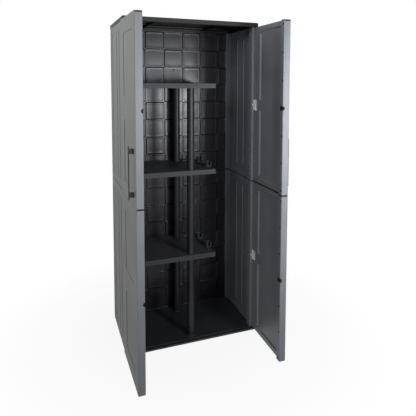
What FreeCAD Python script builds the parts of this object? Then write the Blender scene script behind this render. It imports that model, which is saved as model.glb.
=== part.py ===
import FreeCAD, Part
import math
import os

os.makedirs("parts", exist_ok=True)

# All sizes are in millimetres. X runs to the right, Y is depth behind the front plane and Z is up.
# Every shape is moved forward by half the depth when it is written, so the origin is under the middle.

# Overall body
WIDTH = 690.0
DEPTH = 410.0
HALF_W = WIDTH / 2.0
LID_BOTTOM = 1615.0
LID_RIM = 20.0
LID_OVERHANG = 2.0
LID_DOME = 5.0
LID_WALL = 4.0
LID_SKIRT = 6.0
LID_STEP = 26.0
LID_SLOPE = 18.0
LID_RIB_X = HALF_W - 175.0
LID_RIB_T = 3.0
STOP_RIB_T = 4.0

# Fits
FIT = 0.3
DOOR_END_GAP = 2.0

# Base tray
FLANGE_H = 4.0
LEDGE_H = 8.0
FLOOR_Z = 10.0
CORNER_R = 10.0
DOOR_ZONE = 23.0
LEDGE_D = DOOR_ZONE - FIT
FOOT_RIM = 30.0
FOOT_RIB = 12.0
FOOT_INNER_X = (45.0, 140.0)
FOOT_POCKET_H = 3.0

# Side panels
WALL = 11.0
WALL_IN = HALF_W - WALL
STILE_W = 25.0
STILE_IN = HALF_W - STILE_W
STILE_END = 62.0
STILE_RAMP = 4.0
REAR_LIP = 2.0
SIDE_REAR = DEPTH - REAR_LIP
BACK_T = 17.0
BACK_FRONT = SIDE_REAR - BACK_T
REAR_TAPER_W = 12.0
REAR_TAPER_D = 46.0
REAR_IN = WALL_IN - REAR_TAPER_W
REAR_START = BACK_FRONT - REAR_TAPER_D
SEAM_LIFT = 1.5
SEAM_Z = (FLANGE_H + LID_BOTTOM) / 2.0 + SEAM_LIFT
SEAM_H = 5.0
FIELD_DEEP = 1.5
FIELD_BORDER = 14.0
FIELD_REAR = SIDE_REAR - FIELD_BORDER
FIELD_FOOT = 36.0
FIELD_HEAD = 34.0
GROOVE_HALF = 6.0
GROOVE_DEEP = 3.5
GROOVE_FIRST = 107.0
GROOVE_LAST = FIELD_REAR - 57.0
GROOVE_PITCH = (GROOVE_LAST - GROOVE_FIRST) / 3.0
GROOVE_YS = [GROOVE_FIRST + GROOVE_PITCH * n for n in range(4)]
WALL_RIB_YS = (STILE_END + 99.0, REAR_START - 100.0)
WALL_RIB_HALF = 5.0
WALL_RIB_T = 2.5
WALL_RIB_FOOT = 64.0
WALL_RIB_HEAD = 52.0
WALL_BAND_T = 2.0
WALL_BAND_FOOT = 26.0
WALL_BAND_HEAD = 22.0
STILE_HOLE_R = 2.4
STILE_HOLE_DEEP = 7.0
STILE_HOLES = (0.0, 14.0, 27.0, 107.0, 137.0, 221.0, 253.0, 333.0, 354.0, 379.0)
WALL_SOCKET_R = 5.5
WALL_SOCKET_Y = 76.0
WALL_SOCKETS = (87.0, -333.0)

# Back panels, whose squares stand proud of the border or sit below it
TILE_X = 107.0
TILE_Z = 98.5
TILE_TOP_GAP = 2.8
TILE_TOP = LID_BOTTOM - TILE_TOP_GAP
TILE_PROUD = 5.0
TILE_SUNK = 3.0
TILE_FACE = BACK_FRONT - TILE_PROUD
TILE_FLOOR = BACK_FRONT + TILE_SUNK
TILE_DRAFT = 5.0
TILE_LEAST = 60.0
TILE_EDGE = 0.5
TILE_FOOT = 5.0
TILE_HEAD = 3.5
TILE_SIDE = 2.0
BACK_REAR = SIDE_REAR
WALL_HOLE_Z = LID_BOTTOM - 217.0
WALL_HOLE_R = 4.0

# Tongues that key the lower and upper panels together at the seam
TONGUE_T = 4.0
TONGUE_H = 5.0
TONGUE_YS = (STILE_END + 8.0, SIDE_REAR - 28.0)
TONGUE_HALF_X = REAR_IN - 22.0

# Doors, described closed and then swung open for the rest pose
DOOR_FACE = 2.0
DOOR_T = 20.0
DOOR_SIDE_GAP = 1.0
DOOR_EDGE = HALF_W - DOOR_SIDE_GAP
MEET_GAP = 2.0
DOOR_STILE_T = 33.0
DOOR_STILE_W = 29.0
DOOR_LIFT = 3.5
DOOR_Z0 = LEDGE_H + DOOR_LIFT
DOOR_Z1 = LID_BOTTOM - DOOR_END_GAP
DOOR_JOINT = 8.0
DOOR_HALF_L = (DOOR_Z1 - DOOR_Z0 - DOOR_JOINT) / 2.0
DOOR_SKIN = 2.0
DOOR_EDGE_R = 2.5
STILE_EDGE_R = 5.0
DOOR_LIP_GAP = 0.6
DOOR_LIP_INSET = 3.0
OPEN_DEG = 89.4
HINGE_X = HALF_W - 5.3
HINGE_Y = 14.7
HOLE_STEPS = (-3, -2, -1, 1, 2, 3)
HOLE_END = 20.375
HOLE_PITCH = (DOOR_HALF_L / 2.0 - HOLE_END) / 3.0
HOLE_X = 12.0
HOLE_R = 3.5
HOLE_DEEP = 8.0
PANEL_MIDDLE = 52.0
PANEL_END = 66.375
PANEL_X = (75.0, HALF_W - 82.0)
PANEL_LIFT = 8.0
PANEL_DEEP = 2.0
RECESS_X = HALF_W - 65.0
RECESS_DEEP = 6.0
RECESS_RIM = 21.0
RECESS_DRAFT = 7.0
RECESS_R = 12.0
PAD_X = (46.0, HALF_W - 99.0)
PAD_H = 2.0

# Hinges
NOTCH_IN = HALF_W - 27.0
NOTCH_FLOOR = 8.0
NOTCH_HALF = 30.0
POCKET_HALF = 26.5
KNUCKLE_R = 4.0
BLOCK_HALF = 2.5
PIN_R = 2.0
PIN_RUN = 0.05
LEAF_T = 2.0
LEAF_HALF = 26.5
PLATE_X = (HALF_W - 13.5, HALF_W - 3.0)
KNUCKLE_MID = 8.0
KNUCKLE_GAP = 0.5
KNUCKLE_END = 22.0
STUD_X = HALF_W - 20.0
STUD_OUT = 6.0
STUD_R = 6.0
STUD_STEM_R = 3.0
STUD_STEM_L = 8.0
STUD_HOLE_L = 10.0
PIN_HEAD_R = 3.2
PIN_HEAD_H = 1.8

# Handles
HANDLE_X = 46.0
HANDLE_LIFT = 145.75
HANDLE_Z = (DOOR_Z0 + DOOR_Z1) / 2.0 + HANDLE_LIFT
HANDLE_LEN = 223.0
HANDLE_W = 9.0
HANDLE_BAR_T = 5.0
HANDLE_OFF = 24.0
HANDLE_POST = 21.0
HANDLE_POST_Z = 90.5
HANDLE_EDGE_R = 2.0
PEG_R = 3.5
PEG_L = 9.0
BUFFER_R = 10.0
BUFFER_SINK = 0.5

# Shelves and posts
SHELF_GAP_FRONT = 1.0
SHELF_FRONT = DOOR_FACE + DOOR_STILE_T + SHELF_GAP_FRONT
SHELF_GAP_REAR = 2.0
SHELF_REAR = TILE_FACE - SHELF_GAP_REAR
BROOM_BAY_W = 193.0
SHELF_RIGHT = STILE_IN - BROOM_BAY_W
SHELF_T = 24.0
SHELF_COUNT = 3
SHELF_SKIN = 4.0
SHELF_GAP = 0.6
SHELF_RIB_T = 3.0
SHELF_RIB_UP = 6.0
SHELF_LINE_T = 4.0
SHELF_LINE_DEEP = 1.2
SHELF_STOP_X = (36.0, 66.0)
SHELF_STOP_BACK = 56.0
SHELF_STOP_T = 4.0
SHELF_STOP_H = 6.0
DECK_GROOVE_X = SHELF_RIGHT - 27.0
DECK_GROOVE_HALF = 2.0
DECK_GROOVE_YS = (SHELF_FRONT + 52.0, SHELF_REAR - 64.0)
DECK_GROOVE_DEEP = 2.5
POST_R = 19.0
POST_WALL = 2.5
POST_SINK = 3.5
POST_COLLAR_T = 2.5
POST_COLLAR_H = 3.0
POST_INSET = 1.0
POST_BACK = 54.0
POST_YS = (SHELF_FRONT + SHELF_SKIN + POST_R + POST_INSET, SHELF_REAR - POST_BACK)
SHELF_RIB_XS = (-215.0, -108.0, 36.0)
SHELF_RIB_YS = (POST_YS[0] + 90.0, POST_YS[1] - 65.0)
SPIGOT_H = 6.0
CLIP_R = 17.0
CLIP_T = 4.0
CLIP_H = 26.0
CLIP_X = SHELF_RIGHT - 7.0
CLIP_YS = (SHELF_FRONT + 94.0, SHELF_REAR - 105.0)
CLIP_MOUTH = (-68.0, -112.0)
CLIP_FOOT_X = 14.0
CLIP_FOOT_Y = 12.0
CLIP_FOOT_H = 2.0
CLIP_PEG_R = 3.0
PEG_HOLE_R = 2.5
PEG_DEEP = 7.0
PEG_REACH = 12.0
PEG_SPOTS = ((STILE_IN, 50.0), (WALL_IN, SHELF_REAR - 48.0))

# The lowest tube stands a little way into the floor and each shelf is one pitch above the last
TOP_BAY_H = 290.0
POST_FOOT = FLOOR_Z - POST_SINK
SHELF_PITCH = (LID_BOTTOM - TOP_BAY_H - POST_FOOT) / SHELF_COUNT
SHELF_TOPS = [POST_FOOT + SHELF_PITCH * (n + 1) for n in range(SHELF_COUNT)]
TUBE_L = SHELF_PITCH - SHELF_T
SPIGOT_R = POST_R - POST_WALL - FIT

V = FreeCAD.Vector
UP = V(0, 0, 1)
BACKWARD = V(0, 1, 0)


def box(x0, x1, y0, y1, z0, z1):
    return Part.makeBox(x1 - x0, y1 - y0, z1 - z0, V(x0, y0, z0))


def column(radius, height, x, y, z):
    return Part.makeCylinder(radius, height, V(x, y, z), UP)


def prism(points, z0, z1):
    corners = [V(x, y, z0) for x, y in points]
    outline = Part.makePolygon(corners + [corners[0]])
    return Part.Face(outline).extrude(V(0, 0, z1 - z0))


def fuse_all(shapes):
    whole = shapes[0]
    if len(shapes) > 1:
        whole = whole.multiFuse(shapes[1:])
    return whole.removeSplitter()


def cut_all(shape, tools):
    return shape.cut(Part.makeCompound(tools))


def mirrored(shape):
    return shape.mirror(V(0, 0, 0), V(1, 0, 0))


def swung(shape):
    turned = shape.copy()
    turned.rotate(V(HINGE_X, HINGE_Y, 0), UP, OPEN_DEG)
    return turned


def both_sides(stem, shape, tail=""):
    save(stem + "_right" + tail, shape)
    save(stem + "_left" + tail, mirrored(shape))


def save(name, shape):
    placed = shape.copy()
    placed.translate(V(0, -DEPTH / 2.0, 0))
    placed.exportStep("parts/" + name + ".step")


def round_uprights(shape, spots, radius, reach=0.6):
    chosen = []
    for edge in shape.Edges:
        ends = edge.Vertexes
        if len(ends) != 2:
            continue
        a = ends[0].Point
        b = ends[1].Point
        if abs(a.x - b.x) > 0.01 or abs(a.y - b.y) > 0.01:
            continue
        for x, y in spots:
            if math.hypot(a.x - x, a.y - y) < reach:
                chosen.append(edge)
                break
    if not chosen:
        return shape
    return shape.makeFillet(radius, chosen)


def rounded_slab(half_x, y0, y1, z0, z1, radius):
    slab = box(-half_x, half_x, y0, y1, z0, z1)
    spots = [(-half_x, y0), (half_x, y0), (-half_x, y1), (half_x, y1)]
    return round_uprights(slab, spots, radius)


# One inner wall seen from above, from front to rear, held back by a gap and by any ribs on the wall

def inner_wall(gap, y_front, y_rear, rib=0.0):
    slope = (WALL_IN - REAR_IN) / (BACK_FRONT - REAR_START)
    return [
        (STILE_IN - gap, y_front),
        (STILE_IN - gap, STILE_END + gap),
        (WALL_IN - rib - gap, STILE_END + STILE_RAMP + gap),
        (WALL_IN - rib - gap, REAR_START - gap),
        (REAR_IN + slope * (BACK_FRONT - y_rear) - gap, y_rear),
    ]


def floor_outline():
    right = inner_wall(FIT, DOOR_ZONE, BACK_FRONT - FIT)
    return right + [(-x, y) for x, y in reversed(right)]


def side_outline():
    return [
        (HALF_W, DOOR_ZONE),
        (HALF_W, SIDE_REAR),
        (WALL_IN, SIDE_REAR),
        (WALL_IN, BACK_FRONT),
        (REAR_IN, BACK_FRONT),
        (WALL_IN, REAR_START),
        (WALL_IN, STILE_END + STILE_RAMP),
        (STILE_IN, STILE_END),
        (STILE_IN, DOOR_ZONE),
    ]


# Base tray: a low plate with a ledge under the doors and a sunk floor pattern

def base_tray():
    flange = rounded_slab(HALF_W, 0.0, DEPTH, 0.0, FLANGE_H, CORNER_R)
    ledge = box(-HALF_W, HALF_W, 0.0, LEDGE_D, 0.0, LEDGE_H)
    ledge = round_uprights(ledge, [(-HALF_W, 0.0), (HALF_W, 0.0)], CORNER_R)
    floor = prism(floor_outline(), 0.0, FLOOR_Z)
    tray = fuse_all([flange, ledge, floor])
    tools = []
    outer = (FOOT_INNER_X[1] + FOOT_RIB, HALF_W - FOOT_RIM - FOOT_RIB)
    for near, far in (FOOT_INNER_X, outer):
        for x0, x1 in ((near, far), (-far, -near)):
            for y0, y1 in ((FOOT_RIM, DEPTH / 2.0 - FOOT_RIB), (DEPTH / 2.0 + FOOT_RIB, DEPTH - FOOT_RIM)):
                tools.append(box(x0, x1, y0, y1, -1.0, FOOT_POCKET_H))
    seat_r = POST_R + FIT
    for y in POST_YS:
        tools.append(column(seat_r, FLOOR_Z, 0.0, y, POST_FOOT))
    pieces = [cut_all(tray, tools)]
    for y in POST_YS:
        collar = column(seat_r + POST_COLLAR_T, POST_COLLAR_H, 0.0, y, FLOOR_Z)
        pieces.append(collar.cut(column(seat_r, POST_SINK + 2.0 * POST_COLLAR_H, 0.0, y, POST_FOOT)))
        pieces.append(column(SPIGOT_R, SPIGOT_H, 0.0, y, POST_FOOT))
    return fuse_all(pieces)


# Roof lid: a shallow cap with a raised middle and ribs behind its front skirt

def roof_lid():
    half = HALF_W + LID_OVERHANG
    rim_top = LID_BOTTOM + LID_RIM
    shell = rounded_slab(half, 0.0, DEPTH, LID_BOTTOM, rim_top, CORNER_R)
    edges = [e for e in shell.Edges if all(abs(v.Z - rim_top) < 0.01 for v in e.Vertexes)]
    shell = shell.makeChamfer(LID_WALL, edges)
    step = LID_STEP
    low = rectangle(half - step, step, DEPTH - step, rim_top)
    step += LID_SLOPE
    high = rectangle(half - step, step, DEPTH - step, rim_top + LID_DOME)
    shell = shell.fuse(Part.makeLoft([low, high], True, True))
    soffit = rim_top + LID_DOME - LID_WALL
    skirt = LID_SKIRT
    hollow = box(-half + skirt, half - skirt, skirt, DEPTH - skirt, LID_BOTTOM - 1.0, rim_top - LID_WALL)
    step += 2.0 * LID_WALL
    crown = box(-half + step, half - step, step, DEPTH - step, LID_BOTTOM - 1.0, soffit)
    lid = shell.cut(hollow.fuse(crown))
    stop_rear = DOOR_ZONE + STOP_RIB_T
    ribs = [box(-STILE_IN, STILE_IN, DOOR_ZONE, stop_rear, LID_BOTTOM, rim_top - LID_WALL)]
    for x in (-LID_RIB_X, LID_RIB_X):
        x0 = x - LID_RIB_T / 2.0
        ribs.append(box(x0, x0 + LID_RIB_T, stop_rear, DEPTH - skirt, LID_BOTTOM + LID_RIM / 2.0, soffit))
    return fuse_all([lid] + ribs)


def rectangle(half_x, y0, y1, z):
    corners = [V(-half_x, y0, z), V(half_x, y0, z), V(half_x, y1, z), V(-half_x, y1, z)]
    return Part.makePolygon(corners + [corners[0]])


# Side panels, drawn for the right hand and mirrored for the left

def side_panel(z0, z1, centre, slot_at_top):
    pieces = [prism(side_outline(), z0, z1)]
    foot = max(z0, FLOOR_Z + FIT)
    for a, b in ((foot, z0 + WALL_BAND_FOOT), (z1 - WALL_BAND_HEAD, z1)):
        pieces.append(box(WALL_IN - WALL_BAND_T, WALL_IN, STILE_END + STILE_RAMP, REAR_START, a, b))
    low = z0 + WALL_RIB_FOOT
    high = z1 - WALL_RIB_HEAD
    for y in WALL_RIB_YS:
        pieces.append(box(WALL_IN - WALL_RIB_T, WALL_IN, y - WALL_RIB_HALF, y + WALL_RIB_HALF, low, high))
    panel = fuse_all(pieces)
    low = z0 + FIELD_FOOT
    high = z1 - FIELD_HEAD
    out = HALF_W + 1.0
    tools = [box(HALF_W - FIELD_DEEP, out, GROOVE_YS[2] - GROOVE_HALF, FIELD_REAR, low, high)]
    for y in GROOVE_YS:
        tools.append(box(HALF_W - GROOVE_DEEP, out, y - GROOVE_HALF, y + GROOVE_HALF, low, high))
    tools.extend(stile_holes(centre))
    tools.extend(peg_holes(z0, z1))
    for step in range(-3, 4):
        spot = V(STUD_X, DOOR_ZONE - 1.0, centre + step * HOLE_PITCH)
        tools.append(Part.makeCylinder(STUD_STEM_R, STUD_HOLE_L + 1.0, spot, BACKWARD))
    for offset in WALL_SOCKETS:
        spot = V(WALL_IN - 1.0, WALL_SOCKET_Y, centre + offset)
        tools.append(Part.makeCylinder(WALL_SOCKET_R, WALL / 2.0, spot, V(1, 0, 0)))
    middle = (WALL_IN + HALF_W) / 2.0
    tools.append(tongue_slot((middle, middle), TONGUE_YS, z0, z1, slot_at_top))
    return cut_all(panel, tools)


# Shelf pegs sit in the stile at the front and in the plain wall at the rear

def peg_heights():
    return [top - SHELF_T - PEG_HOLE_R for top in SHELF_TOPS]


def peg_holes(z0, z1):
    tools = []
    for z in peg_heights():
        if z0 < z < z1:
            for x, y in PEG_SPOTS:
                tools.append(Part.makeCylinder(PEG_HOLE_R, PEG_DEEP, V(x, y, z), V(1, 0, 0)))
    return tools


# Spare holes up the stile, left out where a shelf peg already sits

def stile_holes(centre):
    x, y = PEG_SPOTS[0]
    tools = []
    for offset in STILE_HOLES:
        for z in {centre + offset, centre - offset}:
            if min(abs(z - peg) for peg in peg_heights()) > 3.0 * PEG_HOLE_R:
                spot = V(x - 1.0, y, z)
                tools.append(Part.makeCylinder(STILE_HOLE_R, STILE_HOLE_DEEP + 1.0, spot, V(1, 0, 0)))
    return tools


# A tongue between two panels, and the slot it fits with a little play

def tongue(xs, ys, z0, z1, play=0.0):
    half = TONGUE_T / 2.0 + play
    grow_x = play if xs[1] > xs[0] else half
    grow_y = play if ys[1] > ys[0] else half
    return box(xs[0] - grow_x, xs[1] + grow_x, ys[0] - grow_y, ys[1] + grow_y, z0, z1)


def tongue_slot(xs, ys, z0, z1, at_top):
    deep = TONGUE_H + FIT
    if at_top:
        return tongue(xs, ys, z1 - deep, z1 + 1.0, FIT)
    return tongue(xs, ys, z0 - 1.0, z0 + deep, FIT)


def seam_levels():
    return SEAM_Z - SEAM_H / 2.0, SEAM_Z + SEAM_H / 2.0


def side_seam():
    z0, z1 = seam_levels()
    middle = (WALL_IN + HALF_W) / 2.0
    strip = prism(side_outline(), z0, z1)
    return fuse_all([strip, tongue((middle, middle), TONGUE_YS, z0 - TONGUE_H, z1 + TONGUE_H)])


# Back panels with alternate squares standing proud

def back_panel(z0, z1, slot_at_top, wall_hole):
    half = WALL_IN - FIT
    edge = REAR_IN - TILE_SIDE
    foot = z0 + TILE_FOOT
    head = z1 - TILE_HEAD
    panel = box(-half, half, BACK_FRONT, BACK_REAR, z0, z1)
    field = box(-edge, edge, BACK_FRONT - 1.0, TILE_FLOOR, foot - 1.0, head + TILE_EDGE)
    pieces = [panel.cut(field)]
    rows = int((TILE_TOP - FLANGE_H) / TILE_Z)
    for row in range(rows):
        top = min(TILE_TOP - row * TILE_Z, head)
        bottom = max(TILE_TOP - (row + 1) * TILE_Z, foot)
        if top - bottom < TILE_LEAST:
            continue
        for col in range(-3, 4):
            if (row + col) % 2 == 0:
                continue
            left = max((col - 0.5) * TILE_X, -edge)
            right = min((col + 0.5) * TILE_X, edge)
            pieces.append(raised_tile(left, right, bottom, top))
    tools = [tongue_slot((-TONGUE_HALF_X, TONGUE_HALF_X), back_middle(), z0, z1, slot_at_top)]
    if wall_hole:
        start = V(0.0, TILE_FACE, WALL_HOLE_Z)
        tools.append(Part.makeCylinder(WALL_HOLE_R, BACK_REAR - TILE_FACE + 1.0, start, BACKWARD))
    return cut_all(fuse_all(pieces), tools)


def back_middle():
    middle = (TILE_FLOOR + BACK_REAR) / 2.0
    return middle, middle


def raised_tile(x0, x1, z0, z1):
    foot = tile_wire(x0, x1, z0, z1, TILE_EDGE, TILE_FLOOR + 1.0)
    face = tile_wire(x0, x1, z0, z1, TILE_EDGE + TILE_DRAFT, TILE_FACE)
    return Part.makeLoft([foot, face], True, True)


def tile_wire(x0, x1, z0, z1, inset, y):
    x0, x1 = x0 + inset, x1 - inset
    z0, z1 = z0 + inset, z1 - inset
    corners = [V(x0, y, z0), V(x1, y, z0), V(x1, y, z1), V(x0, y, z1)]
    return Part.makePolygon(corners + [corners[0]])


def back_seam():
    z0, z1 = seam_levels()
    half = WALL_IN - FIT
    strip = box(-half, half, BACK_FRONT, BACK_REAR, z0, z1)
    key = tongue((-TONGUE_HALF_X, TONGUE_HALF_X), back_middle(), z0 - TONGUE_H, z1 + TONGUE_H)
    return fuse_all([strip, key])


# Doors: each leaf is two panels joined by a strip, with a cap along the top

def door_outline(skin=0.0):
    front = DOOR_FACE + skin
    inner = DOOR_FACE + DOOR_T - skin
    deep = DOOR_FACE + DOOR_STILE_T - skin
    stile = MEET_GAP + DOOR_STILE_W - skin
    return [
        (MEET_GAP, front),
        (DOOR_EDGE, front),
        (DOOR_EDGE, inner),
        (stile, inner),
        (stile, deep),
        (MEET_GAP, deep),
    ]


def door_split():
    mid = (DOOR_Z0 + DOOR_Z1) / 2.0
    return mid - DOOR_JOINT / 2.0, mid + DOOR_JOINT / 2.0


def door_centres():
    low, high = door_split()
    return (DOOR_Z0 + low) / 2.0, (high + DOOR_Z1) / 2.0


def door_block(z0, z1):
    block = prism(door_outline(), z0, z1)
    deep = DOOR_FACE + DOOR_STILE_T
    sharp = [
        (MEET_GAP, DOOR_FACE),
        (DOOR_EDGE, DOOR_FACE),
        (DOOR_EDGE, DOOR_FACE + DOOR_T),
        (MEET_GAP + DOOR_STILE_W, deep),
    ]
    block = round_uprights(block, sharp, DOOR_EDGE_R)
    return round_uprights(block, [(MEET_GAP, deep)], STILE_EDGE_R)


def panel_spans(centre, upper):
    middle = centre if upper else centre + PANEL_LIFT
    far = DOOR_HALF_L / 2.0 - PANEL_END
    return ((middle - far, middle - PANEL_MIDDLE), (middle + PANEL_MIDDLE, middle + far))


def door_panel(z0, z1, centre, upper):
    joint_middle = sum(door_split()) / 2.0
    inner = DOOR_FACE + DOOR_T
    floor = inner - RECESS_DEEP
    deep = DOOR_FACE + DOOR_STILE_T
    stile = MEET_GAP + DOOR_STILE_W
    lip_zs = (joint_middle + DOOR_LIP_GAP, z0 + 1.0) if upper else (z1 - 1.0, joint_middle - DOOR_LIP_GAP)
    lip = box(MEET_GAP + DOOR_LIP_INSET, DOOR_EDGE - DOOR_LIP_INSET, DOOR_FACE, DOOR_FACE + DOOR_SKIN,
              *lip_zs)
    block = door_block(z0, z1).fuse(lip)
    tools = [recess(stile, RECESS_X, z0 + RECESS_RIM, z1 - RECESS_RIM, inner)]
    for a, b in panel_spans(centre, upper):
        tools.append(box(*PANEL_X, DOOR_FACE - 1.0, DOOR_FACE + PANEL_DEEP, a, b))
    tools.append(box(NOTCH_IN, DOOR_EDGE + 1.0, NOTCH_FLOOR, inner + 1.0, centre - NOTCH_HALF,
                     centre + NOTCH_HALF))
    tools.append(box(RECESS_X - RECESS_DRAFT, NOTCH_IN + 1.0, floor, inner + 1.0, centre - POCKET_HALF,
                     centre + POCKET_HALF))
    for step in HOLE_STEPS:
        spot = V(HOLE_X, deep + 1.0, centre + step * HOLE_PITCH)
        tools.append(Part.makeCylinder(HOLE_R, HOLE_DEEP + 1.0, spot, V(0, -1, 0)))
    tools.append(cross_rod(BUFFER_R, MEET_GAP - 1.0, stile + 1.0, centre))
    if upper:
        tools.append(prism(door_outline(DOOR_SKIN), z1 - DOOR_JOINT, z1 + 1.0))
        for z in handle_post_levels():
            spot = V(HANDLE_X, DOOR_FACE - 1.0, z)
            tools.append(Part.makeCylinder(PEG_R, PEG_L + 1.0, spot, BACKWARD))
    pieces = [cut_all(block, tools)]
    for a, b in panel_spans(centre, upper):
        pieces.append(box(*PAD_X, floor - 0.5, floor + PAD_H, a, b))
    return fuse_all(pieces)


def recess(x0, x1, z0, z1, face):
    d = RECESS_DRAFT
    mouth = rounded_wire(x0, x1, z0, z1, face + 1.0, RECESS_R + 1.0)
    floor = rounded_wire(x0 + 1.0, x1 - d, z0 + d, z1 - d, face - RECESS_DEEP, RECESS_R)
    return Part.makeLoft([mouth, floor], True, True)


def rounded_wire(x0, x1, z0, z1, y, r):
    k = r * (1.0 - math.sqrt(0.5))
    runs = [
        ((x0 + r, z0), (x1 - r, z0), (x1 - k, z0 + k), (x1, z0 + r)),
        ((x1, z0 + r), (x1, z1 - r), (x1 - k, z1 - k), (x1 - r, z1)),
        ((x1 - r, z1), (x0 + r, z1), (x0 + k, z1 - k), (x0, z1 - r)),
        ((x0, z1 - r), (x0, z0 + r), (x0 + k, z0 + k), (x0 + r, z0)),
    ]
    edges = []
    for start, turn, middle, end in runs:
        a, b, c, d = (V(x, y, z) for x, z in (start, turn, middle, end))
        edges.append(Part.makeLine(a, b))
        edges.append(Part.Arc(b, c, d).toShape())
    return Part.Wire(edges)


def door_joint():
    low, high = door_split()
    strip = door_block(low, high)
    skin = box(0.0, HALF_W, DOOR_FACE - 1.0, DOOR_FACE + DOOR_SKIN + FIT, low - 1.0, high + 1.0)
    return strip.cut(skin)


def door_cap():
    cap = prism(door_outline(DOOR_SKIN), DOOR_Z1 - DOOR_JOINT, DOOR_Z1)
    deep = DOOR_FACE + DOOR_STILE_T - DOOR_SKIN
    return round_uprights(cap, [(MEET_GAP, deep)], STILE_EDGE_R - 1.0)


# Straight bar handle on two posts, each with a peg into the door

def handle_post_levels():
    return HANDLE_Z - HANDLE_POST_Z, HANDLE_Z + HANDLE_POST_Z


def handle():
    y0 = DOOR_FACE - HANDLE_OFF
    y1 = y0 + HANDLE_BAR_T
    half_w = HANDLE_W / 2.0
    half_l = HANDLE_LEN / 2.0
    bar = box(HANDLE_X - half_w, HANDLE_X + half_w, y0, y1, HANDLE_Z - half_l, HANDLE_Z + half_l)
    bar = bar.makeFillet(HANDLE_EDGE_R, [e for e in bar.Edges if upright(e)])
    pieces = [bar]
    half_p = HANDLE_POST / 2.0
    half_w -= 0.5
    for z in handle_post_levels():
        pieces.append(box(HANDLE_X - half_w, HANDLE_X + half_w, y1 - 1.0, DOOR_FACE, z - half_p, z + half_p))
        pieces.append(Part.makeCylinder(PEG_R, PEG_L, V(HANDLE_X, DOOR_FACE - 0.5, z), BACKWARD))
    return fuse_all(pieces)


def upright(edge):
    if len(edge.Vertexes) != 2:
        return False
    a = edge.Vertexes[0].Point
    b = edge.Vertexes[1].Point
    return abs(a.x - b.x) < 0.01 and abs(a.y - b.y) < 0.01


# Hinges: a fixed bracket, a leaf in the door's notch, a pin and a round-headed stud

def hinge_bracket(centre):
    plate_front = DOOR_ZONE - LEAF_T
    plate = box(*PLATE_X, plate_front, DOOR_ZONE, centre - LEAF_HALF, centre + LEAF_HALF)
    arm = box(HINGE_X - BLOCK_HALF, HINGE_X + BLOCK_HALF, HINGE_Y, plate_front + 0.5,
              centre - KNUCKLE_MID, centre + KNUCKLE_MID)
    barrel = column(KNUCKLE_R, 2.0 * KNUCKLE_MID, HINGE_X, HINGE_Y, centre - KNUCKLE_MID)
    bracket = fuse_all([plate, arm, barrel])
    return bracket.cut(column(PIN_R, 4.0 * KNUCKLE_MID, HINGE_X, HINGE_Y, centre - 2.0 * KNUCKLE_MID))


def hinge_leaf(centre):
    plate_back = NOTCH_FLOOR + LEAF_T
    plate = box(NOTCH_IN + 2.0, DOOR_EDGE - 2.0, NOTCH_FLOOR, plate_back, centre - LEAF_HALF,
                centre + LEAF_HALF)
    pieces = [plate]
    start = KNUCKLE_MID + KNUCKLE_GAP
    for a, b in ((start, KNUCKLE_END), (-KNUCKLE_END, -start)):
        pieces.append(column(KNUCKLE_R, b - a, HINGE_X, HINGE_Y, centre + a))
        pieces.append(box(HINGE_X - BLOCK_HALF, HINGE_X + BLOCK_HALF, plate_back - 0.5, HINGE_Y,
                          centre + a, centre + b))
    leaf = fuse_all(pieces)
    bore = column(PIN_R + PIN_RUN, 3.0 * KNUCKLE_END, HINGE_X, HINGE_Y, centre - 1.5 * KNUCKLE_END)
    return leaf.cut(bore)


def hinge_pin(centre):
    shaft = column(PIN_R, 2.0 * KNUCKLE_END + 1.0, HINGE_X, HINGE_Y, centre - KNUCKLE_END - 0.5)
    head = column(PIN_HEAD_R, PIN_HEAD_H, HINGE_X, HINGE_Y, centre + KNUCKLE_END + FIT)
    return fuse_all([shaft, head])


def hinge_stud(centre):
    middle = V(STUD_X, DOOR_ZONE - STUD_OUT, centre)
    reach = 2.0 * STUD_R
    ahead = box(STUD_X - reach, STUD_X + reach, DOOR_ZONE - 2.0 * reach, DOOR_ZONE, centre - reach,
                centre + reach)
    ball = Part.makeSphere(STUD_R, middle).common(ahead)
    stem = Part.makeCylinder(STUD_STEM_R, STUD_OUT + STUD_STEM_L, middle, BACKWARD)
    return fuse_all([ball, stem])


def cross_rod(radius, x0, x1, z):
    return Part.makeCylinder(radius, x1 - x0, V(x0, DOOR_FACE + DOOR_STILE_T, z), V(1, 0, 0))


# Half-round rubber buffer let into the inner corner of the closing edge

def door_buffer(centre):
    x0 = MEET_GAP + 1.5
    x1 = MEET_GAP + DOOR_STILE_W - 1.0
    top = DOOR_FACE + DOOR_STILE_T - BUFFER_SINK
    rod = cross_rod(BUFFER_R - FIT / 2.0, x0, x1, centre)
    half = box(x0 - 1.0, x1 + 1.0, top - 2.0 * BUFFER_R, top, centre - 2.0 * BUFFER_R,
               centre + 2.0 * BUFFER_R)
    return rod.common(half)


# Shelves on tubes, with clips along the broom side

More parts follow.
